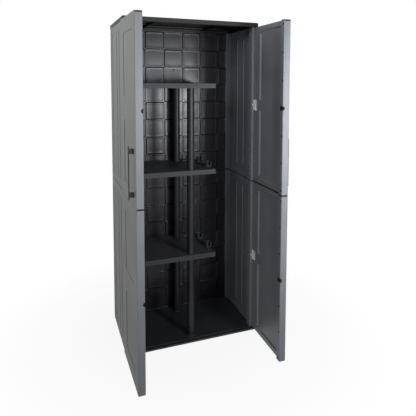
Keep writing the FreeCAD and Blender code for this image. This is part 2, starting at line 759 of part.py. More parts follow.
def shelf(top, middle):
    bottom = top - SHELF_T
    slab = prism(shelf_outline(0.0), bottom, top)
    hollow = prism(shelf_outline(SHELF_SKIN), bottom - 1.0, top - SHELF_SKIN)
    pieces = [slab.cut(hollow)]
    half_t = SHELF_RIB_T / 2.0
    low = bottom + SHELF_RIB_UP
    high = top - 1.0
    for x in SHELF_RIB_XS:
        pieces.append(box(x - half_t, x + half_t, SHELF_FRONT + 1.0, SHELF_REAR - 1.0, low, high))
    for y in SHELF_RIB_YS:
        pieces.append(box(2.0 - STILE_IN, SHELF_RIGHT - 1.0, y - half_t, y + half_t, low, high))
    for y in POST_YS:
        pieces.append(column(POST_R + POST_COLLAR_T, SHELF_T - 1.0, 0.0, y, bottom))
        pieces.append(column(SPIGOT_R, SPIGOT_H + 1.0, 0.0, y, bottom - SPIGOT_H))
        if middle:
            pieces.append(column(SPIGOT_R, SPIGOT_H + 1.0, 0.0, y, high))
    stop_y = SHELF_REAR - SHELF_STOP_BACK
    pieces.append(box(*SHELF_STOP_X, stop_y - SHELF_STOP_T, stop_y, high, top + SHELF_STOP_H))
    line_z = (top + bottom - SHELF_LINE_T) / 2.0
    tools = [box(-HALF_W, HALF_W, SHELF_FRONT - 1.0, SHELF_FRONT + SHELF_LINE_DEEP, line_z,
                 line_z + SHELF_LINE_T)]
    if middle:
        tools.append(box(DECK_GROOVE_X - DECK_GROOVE_HALF, DECK_GROOVE_X + DECK_GROOVE_HALF,
                         *DECK_GROOVE_YS, top - DECK_GROOVE_DEEP, top + 1.0))
        for y in CLIP_YS:
            tools.append(column(CLIP_PEG_R, SHELF_SKIN + 1.0, CLIP_X, y, top - SHELF_SKIN))
    return cut_all(fuse_all(pieces), tools)


# The left and rear edges follow the walls and the right edge is straight

def shelf_outline(inset):
    wall = inner_wall(SHELF_GAP + inset, SHELF_FRONT + inset, SHELF_REAR - inset, WALL_RIB_T)
    right = [(SHELF_RIGHT - inset, SHELF_FRONT + inset), (SHELF_RIGHT - inset, SHELF_REAR - inset)]
    return right + [(-x, y) for x, y in reversed(wall)]


def post_tube(y, z):
    tube = column(POST_R, TUBE_L, 0.0, y, z)
    return tube.cut(column(POST_R - POST_WALL, TUBE_L + 2.0, 0.0, y, z - 1.0))


def broom_clips(top):
    clips = []
    for y in CLIP_YS:
        ring = column(CLIP_R, CLIP_H, CLIP_X, y, top)
        ring = ring.cut(column(CLIP_R - CLIP_T, CLIP_H + 2.0, CLIP_X, y, top - 1.0))
        ring = ring.cut(mouth_wedge(y, top))
        foot = box(CLIP_X - CLIP_FOOT_X, SHELF_RIGHT, y - CLIP_FOOT_Y, y + CLIP_FOOT_Y, top,
                   top + CLIP_FOOT_H)
        peg = column(CLIP_PEG_R, SHELF_SKIN, CLIP_X, y, top - SHELF_SKIN + 0.5)
        clips.append(fuse_all([ring, foot, peg]))
    return Part.makeCompound(clips)


def mouth_wedge(y, top):
    reach = 3.0 * CLIP_R
    points = [(CLIP_X, y)]
    for degrees in CLIP_MOUTH:
        angle = math.radians(degrees)
        points.append((CLIP_X + reach * math.cos(angle), y + reach * math.sin(angle)))
    return prism(points, top + CLIP_FOOT_H, top + CLIP_H + 1.0)


def shelf_pegs():
    pegs = []
    for z in peg_heights():
        for x, y in PEG_SPOTS:
            start = V(-x - PEG_DEEP, y, z)
            pegs.append(Part.makeCylinder(PEG_HOLE_R, PEG_DEEP + PEG_REACH, start, V(1, 0, 0)))
    return Part.makeCompound(pegs)


def build_body():
    save("base_tray", base_tray())
    save("roof_lid", roof_lid())
    low_centre, high_centre = door_centres()
    seam_low, seam_high = seam_levels()
    both_sides("side_panel", side_panel(FLANGE_H, seam_low, low_centre, True), "_lower")
    both_sides("side_panel", side_panel(seam_high, LID_BOTTOM, high_centre, False), "_upper")
    both_sides("side_seam", side_seam())
    save("back_panel_lower", back_panel(FLANGE_H, seam_low, True, False))
    save("back_panel_upper", back_panel(seam_high, LID_BOTTOM, False, True))
    save("back_seam", back_seam())


def build_doors():
    low, high = door_split()
    low_centre, high_centre = door_centres()
    both_sides("door", swung(door_panel(DOOR_Z0, low, low_centre, False)), "_lower")
    both_sides("door", swung(door_panel(high, DOOR_Z1, high_centre, True)), "_upper")
    both_sides("door_joint", swung(door_joint()))
    both_sides("door_cap", swung(door_cap()))
    both_sides("handle", swung(handle()))
    for centre, level in ((low_centre, "_lower"), (high_centre, "_upper")):
        both_sides("door_buffer", swung(door_buffer(centre)), level)
        both_sides("hinge_leaf", swung(hinge_leaf(centre)), level)
        both_sides("hinge_bracket", hinge_bracket(centre), level)
    pins = []
    studs = []
    for centre in (low_centre, high_centre):
        for made, store in ((hinge_pin(centre), pins), (hinge_stud(centre), studs)):
            store.append(made)
            store.append(mirrored(made))
    save("hinge_pins", Part.makeCompound(pins))
    save("hinge_studs", Part.makeCompound(studs))


def build_shelves():
    below = POST_FOOT
    for number, top in enumerate(SHELF_TOPS, start=1):
        middle = number < SHELF_COUNT
        save("shelf_%d" % number, shelf(top, middle))
        save("front_post_%d" % number, post_tube(POST_YS[0], below))
        save("rear_post_%d" % number, post_tube(POST_YS[1], below))
        if middle:
            save("broom_clips_%d" % number, broom_clips(top))
        below = top
    save("shelf_pegs", shelf_pegs())


build_body()
build_doors()
build_shelves()
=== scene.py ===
import sys
import logging
import math
from dataclasses import dataclass, field
from enum import Enum
from typing import Iterable, Sequence

import bmesh
import bpy
import numpy as np
from mathutils import Matrix, Vector


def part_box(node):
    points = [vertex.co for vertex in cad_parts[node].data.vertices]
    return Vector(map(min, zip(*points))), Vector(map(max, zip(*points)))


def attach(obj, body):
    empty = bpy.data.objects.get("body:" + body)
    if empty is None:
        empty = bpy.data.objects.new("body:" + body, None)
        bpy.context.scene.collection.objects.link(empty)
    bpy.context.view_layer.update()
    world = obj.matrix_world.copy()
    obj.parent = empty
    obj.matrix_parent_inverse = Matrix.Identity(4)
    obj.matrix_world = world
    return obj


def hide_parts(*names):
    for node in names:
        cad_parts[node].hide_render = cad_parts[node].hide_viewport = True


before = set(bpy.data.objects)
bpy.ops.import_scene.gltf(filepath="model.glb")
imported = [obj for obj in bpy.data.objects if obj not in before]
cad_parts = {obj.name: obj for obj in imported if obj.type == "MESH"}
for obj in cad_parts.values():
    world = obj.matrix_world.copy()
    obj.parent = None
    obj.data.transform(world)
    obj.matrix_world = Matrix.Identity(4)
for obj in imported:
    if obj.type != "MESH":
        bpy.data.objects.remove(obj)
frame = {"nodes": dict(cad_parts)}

LOG = logging.getLogger("cabinet")
MM = 0.001
# the cabinet's depth in millimetres, which lies half before and half behind the frame's origin
DEPTH_MM = 410.0
SIDES = ("left", "right")
LEVELS = ("lower", "upper")


class Skin(Enum):
    """The families of surface on the cabinet, each with one finish."""

    DOOR = "door_plastic"
    SIDE = "side_plastic"
    INNER = "inner_plastic"
    LID = "lid_plastic"
    BASE = "base_plastic"
    SHELF = "shelf_plastic"
    POST = "post_plastic"
    PROFILE = "black_profile"
    HANDLE = "handle_plastic"
    RUBBER = "rubber"
    HINGE = "hinge_white"
    PIN = "pin_steel"
    CLIP = "clip_plastic"
    # painted shade: a near-black material put inside small holes, where there is only shade
    PAINTED_HOLE_SHADE = "painted_hole_shade"


@dataclass(frozen=True)
class Finish:
    """How one surface looks.

    Attributes:
        colour: linear base colour where the plastic is clean.
        dusty: linear colour of the lighter mottling.
        roughness: lowest and highest roughness over the surface.
        grain_mm: size of the fine moulded grain.
        grain_depth_mm: height of that grain.
        wave_mm: size of the slow waves that sink marks leave.
        wave_depth_mm: height of those waves.
        specular: the shader's specular level.
        metallic: 1 for bare metal.
    """

    colour: tuple[float, float, float]
    dusty: tuple[float, float, float]
    roughness: tuple[float, float]
    grain_mm: float = 1.4
    grain_depth_mm: float = 0.02
    wave_mm: float = 70.0
    wave_depth_mm: float = 0.15
    specular: float = 0.4
    metallic: float = 0.0


# first line: colour, dusty colour, roughness; second: grain size and depth, wave size and depth, specular,
# and metallic where it isn't 0
FINISHES: dict[Skin, Finish] = {
    Skin.DOOR: Finish((0.244, 0.255, 0.27), (0.284, 0.296, 0.314), (0.42, 0.5),
                      1.6, 0.02, 90.0, 0.2, 0.33),
    Skin.SIDE: Finish((0.265, 0.27, 0.29), (0.306, 0.312, 0.334), (0.46, 0.54),
                      1.6, 0.02, 90.0, 0.2, 0.24),
    Skin.INNER: Finish((0.0068, 0.0066, 0.0095), (0.0105, 0.0102, 0.0145), (0.32, 0.38),
                       1.2, 0.008, 40.0, 0.35, 0.4),
    Skin.LID: Finish((0.01, 0.01, 0.009), (0.0155, 0.0155, 0.0145), (0.5, 0.6),
                     1.6, 0.03, 90.0, 0.2, 0.3),
    Skin.BASE: Finish((0.026, 0.027, 0.029), (0.04, 0.041, 0.043), (0.5, 0.62),
                      1.6, 0.03, 80.0, 0.2, 0.3),
    Skin.SHELF: Finish((0.045, 0.0455, 0.049), (0.061, 0.062, 0.067), (0.45, 0.55),
                       1.5, 0.02, 70.0, 0.2, 0.2),
    Skin.POST: Finish((0.021, 0.022, 0.025), (0.03, 0.031, 0.035), (0.36, 0.44),
                      1.2, 0.008, 50.0, 0.05, 0.25),
    Skin.PROFILE: Finish((0.012, 0.012, 0.013), (0.02, 0.02, 0.021), (0.45, 0.6),
                         1.2, 0.02, 50.0, 0.05, 0.3),
    Skin.HANDLE: Finish((0.028, 0.028, 0.03), (0.04, 0.04, 0.042), (0.4, 0.52),
                        1.0, 0.02, 30.0, 0.03, 0.4),
    Skin.RUBBER: Finish((0.008, 0.008, 0.008), (0.014, 0.014, 0.014), (0.7, 0.8),
                        1.0, 0.02, 30.0, 0.03, 0.2),
    Skin.HINGE: Finish((0.86, 0.86, 0.82), (0.92, 0.92, 0.88), (0.3, 0.4),
                       1.0, 0.01, 20.0, 0.02, 0.5),
    Skin.PIN: Finish((0.55, 0.55, 0.55), (0.62, 0.62, 0.62), (0.28, 0.4),
                     0.8, 0.005, 15.0, 0.01, 0.5, 1.0),
    Skin.CLIP: Finish((0.04, 0.042, 0.045), (0.06, 0.062, 0.066), (0.32, 0.42),
                      1.0, 0.01, 20.0, 0.02, 0.5),
    # painted shade: the near-black colour put inside small holes and the wall screw's hole
    Skin.PAINTED_HOLE_SHADE: Finish((0.004, 0.004, 0.0045), (0.007, 0.007, 0.0075), (0.75, 0.9),
                        1.2, 0.01, 30.0, 0.02, 0.1),
}

# the coarser texture on the faces that look outwards; on the base, the faces that look forwards get a lighter
# colour than the deck, which is painted light
OUTER_PANEL = Finish((0.24, 0.243, 0.24), (0.281, 0.284, 0.278), (0.56, 0.66),
                     1.8, 0.05, 90.0, 0.2, 0.22)
OUTER_FINISHES_AND_PAINTED_LIGHT: dict[Skin, Finish] = {
    Skin.DOOR: OUTER_PANEL,
    Skin.SIDE: OUTER_PANEL,
    # painted light: the base's faces that look forwards are about three times lighter than the deck, standing
    # in for the light they catch
    Skin.BASE: Finish((0.075, 0.077, 0.08), (0.1, 0.102, 0.105), (0.5, 0.6),
                      1.6, 0.03, 80.0, 0.2, 0.3),
}
OUTWARD_SHARE = 0.6

# clean-up of a solid's mesh: points this close are one, faces this near to level are one, and a cut takes
# the points that are this near to it, in metres
MERGE_MM = 0.01
FLAT_DEG = 0.4
CUT_SNAP = 1e-6
# edges steeper than the first are rounded, and those steeper than the second, or on the back wall the third,
# shade as sharp
ROUNDED_DEG = 28.0
SHARP_DEG = 50.0
WALL_SHARP_DEG = 62.0

# small blind holes: the place of their painted shade material and their widening, then what tells them from
# other details, which is sizes in millimetres, the angle within their wall, a face's most area in square
# metres and the most faces
PAINTED_SHADE_INDEX = 2
HOLE_WEAR = 1.4
HOLE_WIDTHS = (3.5, 8.0)
HOLE_DEPTHS = (5.0, 8.5)
HOLE_ROUND_MM = 0.3
HOLE_SMOOTH_DEG = 40.0
HOLE_FACE_AREA = 40e-6
HOLE_FACES_MOST = 200

# how far a door stands open at rest, the rounding of its ends and the heights of its rings as shares of that
OPEN_DEG = 89.4
END_MM = 7.0
END_RINGS = (0.04, 0.15, 0.35, 0.62, 1.0)


def math_node(tree: bpy.types.NodeTree, operation: str,
              *values: bpy.types.NodeSocket | float) -> bpy.types.NodeSocket:
    """Adds a Math node to a tree.

    Args:
        tree: the tree that gets the node.
        operation: what the node works out.
        values: its inputs, each a socket to link or a number to set.

    Returns:
        The socket with the result.
    """
    node = tree.nodes.new("ShaderNodeMath")
    node.operation = operation
    for socket, value in zip(node.inputs, values):
        if isinstance(value, bpy.types.NodeSocket):
            tree.links.new(value, socket)
        else:
            socket.default_value = value
    return node.outputs[0]


def add_object(name: str, data: bpy.types.ID) -> bpy.types.Object:
    """Adds an object to the scene.

    Args:
        name: the object's name.
        data: its mesh, lamp or camera.

    Returns:
        The new object, at the origin.
    """
    made = bpy.data.objects.new(name, data)
    bpy.context.scene.collection.objects.link(made)
    return made


def cut(form: bmesh.types.BMesh, place: Sequence[float], normal: Sequence[float]) -> None:
    """Draws a line round a shape where a plane passes through it.

    Args:
        form: the shape.
        place: a point of the plane.
        normal: the plane's direction.
    """
    bmesh.ops.bisect_plane(form, geom=[*form.verts, *form.edges, *form.faces], dist=CUT_SNAP,
                           plane_co=place, plane_no=normal)


def ease(share: np.ndarray) -> np.ndarray:
    """Smooths both ends of a rise.

    Args:
        share: how far along the rise each point is, from 0 to 1.

    Returns:
        The eased shares.
    """
    return share * share * (3.0 - 2.0 * share)


class ShaderKit:
    """Builds the shared node group once and one material for each skin.

    Attributes:
        grain: the group with the moulded surface.
        materials: the materials made so far, by skin and by whether they are for the outside; on the base
            that means the faces that look forwards, which are painted lighter as painted light.
    """

    PATCH_SCALE = 5.0
    PATCH_DETAIL = 6.0
    PATCH_ROUGHNESS = 0.6
    PATCH_RANGE = (0.35, 0.65)
    GRAIN_DETAIL = 2.0
    WAVE_DETAIL = 1.0

    def __init__(self) -> None:
        self.grain = self._grain_group()
        self.materials: dict[tuple[Skin, bool], bpy.types.Material] = {}

    @staticmethod
    def _noise(tree: bpy.types.NodeTree, where: bpy.types.NodeSocket, size: bpy.types.NodeSocket,
               detail: float) -> bpy.types.NodeSocket:
        """Adds a noise whose features have a given size.

        Args:
            tree: the tree that gets the nodes.
            where: the position that the noise follows.
            size: the features' size in metres.
            detail: how many finer layers it has.

        Returns:
            The noise's value.
        """
        texture = tree.nodes.new("ShaderNodeTexNoise")
        texture.inputs["Detail"].default_value = detail
        tree.links.new(where, texture.inputs["Vector"])
        tree.links.new(math_node(tree, "DIVIDE", 1.0, size), texture.inputs["Scale"])
        return texture.outputs["Fac"]

    def _grain_group(self) -> bpy.types.NodeTree:
        """Makes the group that turns sizes in metres into bump height and mottling.

        Returns:
            The group, with inputs for the grain's and the waves' size and depth.
        """
        tree = bpy.data.node_groups.new("MouldedSurface", "ShaderNodeTree")
        face = tree.interface
        for name, default in (("Grain Size", 0.0015), ("Grain Depth", 0.00002), ("Wave Size", 0.07),
                              ("Wave Depth", 0.0002)):
            socket = face.new_socket(name=name, in_out="INPUT", socket_type="NodeSocketFloat")
            socket.default_value = default
        for name in ("Height", "Mottle"):
            face.new_socket(name=name, in_out="OUTPUT", socket_type="NodeSocketFloat")
        nodes, links = tree.nodes, tree.links
        given = nodes.new("NodeGroupInput").outputs
        out = nodes.new("NodeGroupOutput").inputs
        where = nodes.new("ShaderNodeTexCoord").outputs["Object"]
        fine = self._noise(tree, where, given["Grain Size"], self.GRAIN_DETAIL)
        slow = self._noise(tree, where, given["Wave Size"], self.WAVE_DETAIL)
        height = math_node(tree, "ADD", math_node(tree, "MULTIPLY", fine, given["Grain Depth"]),
                           math_node(tree, "MULTIPLY", slow, given["Wave Depth"]))
        links.new(height, out["Height"])
        patch = nodes.new("ShaderNodeTexNoise")
        patch.inputs["Scale"].default_value = self.PATCH_SCALE
        patch.inputs["Detail"].default_value = self.PATCH_DETAIL
        patch.inputs["Roughness"].default_value = self.PATCH_ROUGHNESS
        links.new(where, patch.inputs["Vector"])
        spread = nodes.new("ShaderNodeMapRange")
        spread.inputs["From Min"].default_value, spread.inputs["From Max"].default_value = self.PATCH_RANGE
        links.new(patch.outputs["Fac"], spread.inputs["Value"])
        links.new(spread.outputs["Result"], out["Mottle"])
        return tree

    def material(self, skin: Skin, outer: bool = False) -> bpy.types.Material:
        """Gives the skin's material, which is made on first use.

        Args:
            skin: the surface family.
            outer: True for the textured face that looks outwards, and on the base for the faces that look
                forwards, which are painted lighter as painted light.

        Returns:
            The material.
        """
        if (skin, outer) in self.materials:
            return self.materials[skin, outer]
        finish = OUTER_FINISHES_AND_PAINTED_LIGHT[skin] if outer else FINISHES[skin]
        made = bpy.data.materials.new("mat_" + skin.value + ("_outer" if outer else ""))
        made.use_nodes = True
        nodes, links = made.node_tree.nodes, made.node_tree.links
        shader = nodes["Principled BSDF"]
        shader.inputs["Specular IOR Level"].default_value = finish.specular
        shader.inputs["Metallic"].default_value = finish.metallic
        group = nodes.new("ShaderNodeGroup")
        group.node_tree = self.grain
        for name, size_mm in (("Grain Size", finish.grain_mm), ("Grain Depth", finish.grain_depth_mm),
                              ("Wave Size", finish.wave_mm), ("Wave Depth", finish.wave_depth_mm)):
            group.inputs[name].default_value = size_mm * MM
        tint = nodes.new("ShaderNodeMix")
        tint.data_type = "RGBA"
        tint.inputs["A"].default_value = (*finish.colour, 1.0)
        tint.inputs["B"].default_value = (*finish.dusty, 1.0)
        links.new(group.outputs["Mottle"], tint.inputs["Factor"])
        links.new(tint.outputs["Result"], shader.inputs["Base Color"])
        gloss = nodes.new("ShaderNodeMapRange")
        gloss.inputs["To Min"].default_value, gloss.inputs["To Max"].default_value = finish.roughness
        links.new(group.outputs["Mottle"], gloss.inputs["Value"])
        links.new(gloss.outputs["Result"], shader.inputs["Roughness"])
        bump = nodes.new("ShaderNodeBump")
        bump.inputs["Strength"].default_value = 1.0
        bump.inputs["Distance"].default_value = 1.0
        links.new(group.outputs["Height"], bump.inputs["Height"])
        links.new(bump.outputs["Normal"], shader.inputs["Normal"])
        self.materials[skin, outer] = made
        return made


@dataclass(frozen=True)
class CoveRules:
    """Sizes of the side walls' sloping rear part in millimetres.

    Attributes:
        start: where the slope starts, measured back from the front plane.
        rear: where it meets the back wall.
        wall_in: the plain wall's distance from the middle.
        rear_in: the slope's distance from the middle at the back wall.
        near: how close to the slope a point has to be to belong to it.
        on_line: how close to a drawn line a point has to be to lie on it.
        rings: places along the depth, each with the cove's distance from the middle there.
    """

    start: float = 345.0
    rear: float = 391.0
    wall_in: float = 334.0
    rear_in: float = 322.0
    near: float = 0.2
    on_line: float = 0.05
    rings: tuple[tuple[float, float], ...] = ((382.0, 327.2), (368.0, 331.4))


@dataclass
class SoftForm:
    """One moulded piece: a solid's own shape with its sharp edges rounded as a mould leaves them.

    Attributes:
        node: the solid that the piece stands for.
        body: the body that it moves with.
        skin: its surface family.
        radius_mm: size of the rounding.
        least_mm: edges shorter than this are left sharp, such as those round small holes.
        segments: how many facets a rounded edge has.
        end_mm: size of the rounding of a leaf's upper end, or below zero of its lower end.
    """

    node: str
    body: str
    skin: Skin
    radius_mm: float = 1.2
    least_mm: float = 1.8
    segments: int = 2
    end_mm: float = 0.0

    @property
    def hand(self) -> float:
        """Is -1 on the cabinet's left and 1 on its right."""
        return -1.0 if "_left" in self.node else 1.0

    def build(self, kit: ShaderKit) -> bpy.types.Object:
        """Makes the piece, gives it its materials and sets it in the solid's place.

        Args:
            kit: where materials come from.

        Returns:
            The piece.
        """
        form = bmesh.new()
        form.from_mesh(frame["nodes"][self.node].data)
        bmesh.ops.remove_doubles(form, verts=form.verts, dist=MERGE_MM * MM)
        bmesh.ops.dissolve_limit(form, angle_limit=math.radians(FLAT_DEG), verts=form.verts, edges=form.edges)
        holes = self._widen_holes(form) if self.skin in OUTER_FINISHES_AND_PAINTED_LIGHT else 0
        if self.skin is Skin.SIDE:
            self._hollow_slope(form)
        sharp = [e for e in form.edges if e.is_manifold and e.calc_length() > self.least_mm * MM
                 and e.calc_face_angle(0.0) > math.radians(ROUNDED_DEG)]
        bmesh.ops.bevel(form, geom=sharp, offset=self.radius_mm * MM, offset_type="OFFSET",
                        segments=self.segments, profile=0.5, affect="EDGES", clamp_overlap=True)
        if self.end_mm:
            self._round_end(form)
        for face in form.faces:
            face.smooth = True
        data = bpy.data.meshes.new(self.node + "_form")
        form.to_mesh(data)
        form.free()
        data.set_sharp_from_angle(angle=math.radians(SHARP_DEG))
        self._paint(data, kit)
        piece = add_object(self.node + "_form", data)
        weighted = piece.modifiers.new("even_shading", "WEIGHTED_NORMAL")
        weighted.keep_sharp = True
        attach(piece, self.body)
        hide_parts(self.node)
        LOG.info("%s: %d edges rounded, %d small holes, %d faces", self.node, len(sharp), holes,
                 len(data.polygons))
        return piece

    def _paint(self, data: bpy.types.Mesh, kit: ShaderKit) -> None:
        """Gives the mesh its material. Doors and side walls get a second one on the faces that look outwards,
        and the base gets a lighter one on the faces that look forwards, which is painted light. All three get
        painted shade, a near-black material, inside their small holes.

        Args:
            data: the mesh, with the insides of holes marked for painted shade.
            kit: where materials come from.
        """
        data.materials.append(kit.material(self.skin))
        if self.skin not in OUTER_FINISHES_AND_PAINTED_LIGHT:
            return
        data.materials.append(kit.material(self.skin, outer=True))
        # painted shade for the insides of small holes
        data.materials.append(kit.material(Skin.PAINTED_HOLE_SHADE))
        # on the base, the faces that look forwards get the lighter colour, which is painted light
        aim = (0.0, -1.0) if self.skin is Skin.BASE else (self.hand, 0.0)
        for face in data.polygons:
            if face.material_index != PAINTED_SHADE_INDEX:
                face.material_index = int(face.normal.x * aim[0] + face.normal.y * aim[1] > OUTWARD_SHARE)

    def _hollow_slope(self, form: bmesh.types.BMesh) -> None:
        """Bends the sloping rear part of a side wall into a shallow cove, steeper towards the back wall.

        The slope is straight in the solid. Two lines are drawn along it, and their points move out to the
        distance from the middle that the cove has there.

        Args:
            form: the solid's shape before its edges are rounded.
        """
        slope = CoveRules()
        for level, out in slope.rings:
            y = (level - DEPTH_MM / 2) * MM
            cut(form, (0.0, y, 0.0), (0.0, 1.0, 0.0))
            share = (slope.rear - level) / (slope.rear - slope.start)
            line = slope.rear_in + (slope.wall_in - slope.rear_in) * share
            drawn = [v for v in form.verts if abs(v.co.y - y) < slope.on_line * MM]
            for v in drawn:
                if abs(abs(v.co.x) / MM - line) < slope.near:
                    v.co.x = math.copysign(out * MM, v.co.x)

    def _round_end(self, form: bmesh.types.BMesh) -> None:
        """Draws a leaf's end in along a quarter circle, across its thickness and along its width.

        At a distance h from the end, all points keep at least r - sqrt(r * r - (r - h) * (r - h)) from the
        leaf's own outer limits, where r is the rounding.

        Args:
            form: the solid's shape after its edges are rounded.
        """
        radius = abs(self.end_mm) * MM
        heights = np.array([v.co.z for v in form.verts])
        up = self.end_mm > 0.0
        end = heights.max() if up else heights.min()
        inward = -1.0 if up else 1.0
        for share in END_RINGS:
            cut(form, (0.0, 0.0, end + inward * radius * share), (0.0, 0.0, 1.0))
        turn = math.radians(OPEN_DEG)
        axes = np.array([[self.hand * math.sin(turn), -math.cos(turn)],
                         [-self.hand * math.cos(turn), -math.sin(turn)]])
        places = np.array([v.co for v in form.verts])
        flat = places[:, :2] @ axes.T
        under = np.clip((places[:, 2] - end) * inward, 0.0, radius)
        inset = (radius - np.sqrt(radius * radius - (radius - under) ** 2))[:, None]
        flat = np.clip(flat, flat.min(axis=0) + inset, flat.max(axis=0) - inset)
        for v, (x, y) in zip(form.verts, flat @ axes):
            v.co.x, v.co.y = x, y

    @staticmethod
    def _smooth_patch(first: bmesh.types.BMFace) -> set[bmesh.types.BMFace]:
        """Gathers the faces that join a face without a sharp edge between.

        Args:
            first: the face to start from.

        Returns:
            The faces, up to a limit that no small hole reaches.
        """
        patch = {first}
        front = [first]
        while front and len(patch) < HOLE_FACES_MOST:
            for edge in front.pop().edges:
                if edge.is_manifold and edge.calc_face_angle(0.0) < math.radians(HOLE_SMOOTH_DEG):
                    fresh = [other for other in edge.link_faces if other not in patch]
                    patch.update(fresh)
                    front.extend(fresh)
        return patch

    def _widen_holes(self, form: bmesh.types.BMesh) -> int:
        """Opens the small blind holes that run sideways by a share of their radius, and marks their insides
        for painted shade.

        A hole is a smooth patch of faces whose box is as high as it is wide along the panel, and no deeper
        than a blind hole. Its points move away from the hole's own middle line.

        Args:
            form: the solid's shape before its edges are rounded.

        Returns:
            How many holes there are.
        """
        found = 0
        seen: set[int] = set()
        form.faces.ensure_lookup_table()
        for first in form.faces:
            if first.index in seen or first.calc_area() > HOLE_FACE_AREA:
                continue
            patch = self._smooth_patch(first)
            seen.update(face.index for face in patch)
            points = {v for face in patch for v in face.verts}
            where = np.array([v.co for v in points])
            deep, wide, high = np.ptp(where, axis=0) / MM
            if not (abs(wide - high) < HOLE_ROUND_MM and HOLE_WIDTHS[0] < wide < HOLE_WIDTHS[1]
                    and HOLE_DEPTHS[0] < deep < HOLE_DEPTHS[1]):
                continue
            found += 1
            middle = (where.min(axis=0) + where.max(axis=0)) / 2
            # painted shade: the hole's inside gets the near-black material in place of the shade that falls
            # there
            for face in {face for v in points for face in v.link_faces}:
                if all(p in points for p in face.verts):
                    face.material_index = PAINTED_SHADE_INDEX
            for v in points:
                v.co.y = middle[1] + (v.co.y - middle[1]) * HOLE_WEAR
                v.co.z = middle[2] + (v.co.z - middle[2]) * HOLE_WEAR
        return found


@dataclass(frozen=True)
class TileRules:
    """Sizes of the tiled back wall in millimetres, with depths measured from the front plane of the cabinet.

    Attributes:
        pitch_x, pitch_z: a tile's width and height.
        half_columns: how many tiles are looked at on each side of the middle.
        top: upper edge of the highest row.
        proud, sunk: depth of the two kinds of tile.
        frame: depth of the plain frame round the tiles.
        rear: depth of the outer face.
        half_field, half_panel: half the width of the tiled field and of the whole panel.
        foot, head: height of the plain strip below and above the tiles.
        draft: width of a proud tile's sloping side.
        edge: width of the flat strip between two tiles.
        ease_share: how much of the sloping side's form is eased.
        round: radius of a tile's corners.
        least_height: tiles lower than this stay sunk.
        rim, rim_step, rim_run: width of a tile's rim, the step inside it and the width of that step.
        proud_gap, sunk_gap: what comes before the rim on either kind of tile.
        corner_cut, diagonal: how far the rim's inner corners are cut, and the slope of that cut.
        bulge: height of the field's crown.
        rear_margin, rear_ramp, rear_sink: width of the outer face's frame, width of the slope inside it and
            that slope's height.
        line_width, line_depth: size of the tile lines on the outer face.
    """

    pitch_x: float = 107.0
    pitch_z: float = 98.5
    half_columns: int = 4
    top: float = 1612.2
    proud: float = 387.8
    sunk: float = 391.8
    frame: float = 390.5
    rear: float = 408.0
    half_field: float = 320.0
    half_panel: float = 333.7
    foot: float = 5.0
    head: float = 3.5
    draft: float = 3.2
    edge: float = 0.4
    ease_share: float = 0.35
    round: float = 7.0
    least_height: float = 60.0
    rim: float = 6.0
    rim_step: float = 0.6
    rim_run: float = 3.0
    proud_gap: float = 1.0
    sunk_gap: float = 1.5
    corner_cut: float = 15.0
    diagonal: float = 0.7071
    bulge: float = 0.9
    rear_margin: float = 16.0
    rear_ramp: float = 5.0
    rear_sink: float = 1.6
    line_width: float = 5.0
    line_depth: float = 0.9


@dataclass(frozen=True)
class ScrewHole:
    """The wall screw's hole in the back wall, with a seat for the screw's head.

    Attributes:
        height: height of its middle line in millimetres.
        radius: its radius in front of the seat in millimetres.
        patch: half the width of the square in the wall's grid that makes room for it, in millimetres.
        mouth: radius at the front face as a share of the radius.
        shank: radius behind the seat as a share of the radius.
        seat: depth of the seat as a share of the wall's thickness.
        corners: how many corners its outline has.
    """

    height: float = 1398.0
    radius: float = 4.0
    patch: float = 6.5
    mouth: float = 1.4
    shank: float = 0.6
    seat: float = 0.4
    corners: int = 28


